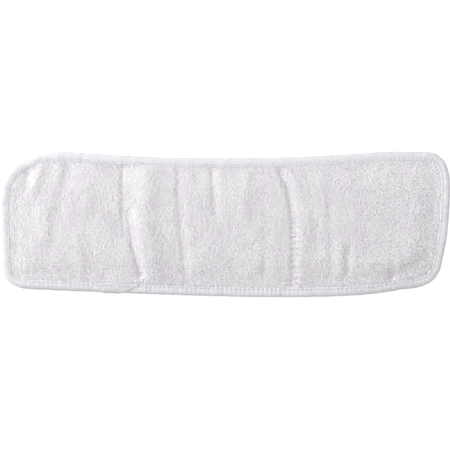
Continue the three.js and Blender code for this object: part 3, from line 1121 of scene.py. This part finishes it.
def hook_nylon():
    """Extruded nylon monofilament and its woven back: translucent white with a soft shine."""
    material, tree, place = new_material("Nylon hook tape")
    grain = node(tree, "ShaderNodeTexNoise", {"Scale": per_metre(0.5), "Detail": 2}, {"Vector": place})
    grain = grain.outputs["Fac"]
    finish_material(tree, grain, ((0.3, "#dddde3"), (0.7, "#eeeef3")), grain, (0.3, 0.45),
                    grain, (0.2, 0.04), 0.0, 0.5)
    return material


# -------- camera, floor and light


def camera():
    """Straight above the middle, so high that the object's length fills the picture."""
    lens, sensor = 100.0, 36.0
    data = bpy.data.cameras.new("camera")
    data.lens = lens
    data.sensor_width = sensor
    wide = CAD_BOX[1][0] - CAD_BOX[0][0]
    seen = bpy.data.objects.new("camera", data)
    seen.location = (0.0, -0.0004, EDGE_CENTRE * MM + wide * lens / sensor)
    bpy.context.scene.collection.objects.link(seen)
    bpy.context.scene.camera = seen


def area_light(name, place, size, power):
    """A square lamp that points at the middle of the object."""
    data = bpy.data.lights.new(name, "AREA")
    data.energy = power
    data.size = size
    lamp = bpy.data.objects.new(name, data)
    lamp.location = place
    lamp.rotation_euler = (-Vector(place)).to_track_quat("-Z", "Y").to_euler()
    bpy.context.scene.collection.objects.link(lamp)


def studio():
    """White paper that throws less light back onto the object than it shows, a pale room and two
    lamps."""
    bpy.ops.object.select_all(action="DESELECT")
    bpy.ops.mesh.primitive_plane_add(size=6, location=(0, 0, 0))
    floor = bpy.context.active_object
    floor.name = "floor"
    material, tree, _ = new_material("White paper")
    paper = node(tree, "ShaderNodeBsdfPrincipled", {
        "Base Color": linear("#fafafa"), "Roughness": 0.9, "Specular IOR Level": 0.1,
        "Emission Color": (1, 1, 1, 1), "Emission Strength": 0.55,
    }, {})
    bounce = node(tree, "ShaderNodeBsdfDiffuse", {"Color": linear("#b4b4b6")}, {})
    seen = node(tree, "ShaderNodeLightPath", {}, {})
    mixed = node(tree, "ShaderNodeMixShader", {}, {
        0: seen.outputs["Is Camera Ray"], 1: bounce.outputs["BSDF"], 2: paper.outputs["BSDF"]})
    node(tree, "ShaderNodeOutputMaterial", {}, {"Surface": mixed.outputs["Shader"]})
    floor.data.materials.append(material)
    world = bpy.data.worlds.new("studio")
    world.use_nodes = True
    background = world.node_tree.nodes["Background"]
    background.inputs["Color"].default_value = (1, 1, 1, 1)
    background.inputs["Strength"].default_value = 0.5
    bpy.context.scene.world = world
    area_light("key", (-1.14, 0.56, 0.9), 0.7, 20.4)
    area_light("fill", (0.9, -0.6, 1.1), 1.2, 4.2)
    bpy.context.scene.view_settings.view_transform = "Standard"
    bpy.context.scene.view_settings.look = "None"


# -------- assembly


def dress(piece, material, body, slot, *nodes):
    """Gives a piece its material, the body it rides on and the CAD nodes it replaces; the slot for its
    finish is not used.
    """
    piece.data.materials.clear()
    piece.data.materials.append(material)
    if body:
        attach(piece, body)
    if nodes:
        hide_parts(*nodes)
    return piece


camera()

cotton = terry_cotton("Bleached terry cotton", "#ece6ee", "#faf4fb")
fluff = terry_cotton("Needled wadding", "#e6e3da", "#f6f4ee")
tape_cloth = woven_tape()
thread = spun_thread()
elastic = woven_elastic()
nylon = hook_nylon()

stuffing = stuffed_wadding()
face_height = panel_surface(stuffing, 1)
back_height = panel_surface(stuffing, -1)
settle_wadding(stuffing)

face = dress(towelling("face_towelling", face_height, 1), cotton, "pad", "towelling", "face_terry_panel")
face_loops = dress(loops("face_pile", face_height, 1), cotton, "pad", "towelling")
back = dress(towelling("back_towelling", back_height, -1), cotton, "pad", "towelling", "back_terry_panel")
back_loops = dress(loops("back_pile", back_height, -1), cotton, "pad", "towelling")
filling = dress(stuffing, fluff, "pad", "wadding", "absorbent_core")
tape = dress(binding_tape(), tape_cloth, "pad", "binding_tape", "edge_binding")
lap = dress(lapped_end(), tape_cloth, "pad", "binding_tape")
dress(seam_stitches("seam_stitches_face", 1), thread, "pad", "thread", "binding_face_thread")
dress(seam_stitches("seam_stitches_back", -1), thread, "pad", "thread", "binding_back_thread")
dress(strap_root_stitches(), thread, "pad", "thread", "strap_root_thread")

webbing = dress(elastic_strap(), elastic, None, "elastic", "elastic_strap", "strap_sewn_end")
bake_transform(webbing)

dress(hook_base(), nylon, "strap", "hook_tape", "hook_patch")
dress(hooks(), nylon, "strap", "hook_tape")
dress(patch_stitches(), thread, "strap", "thread", "hook_patch_thread")

studio()
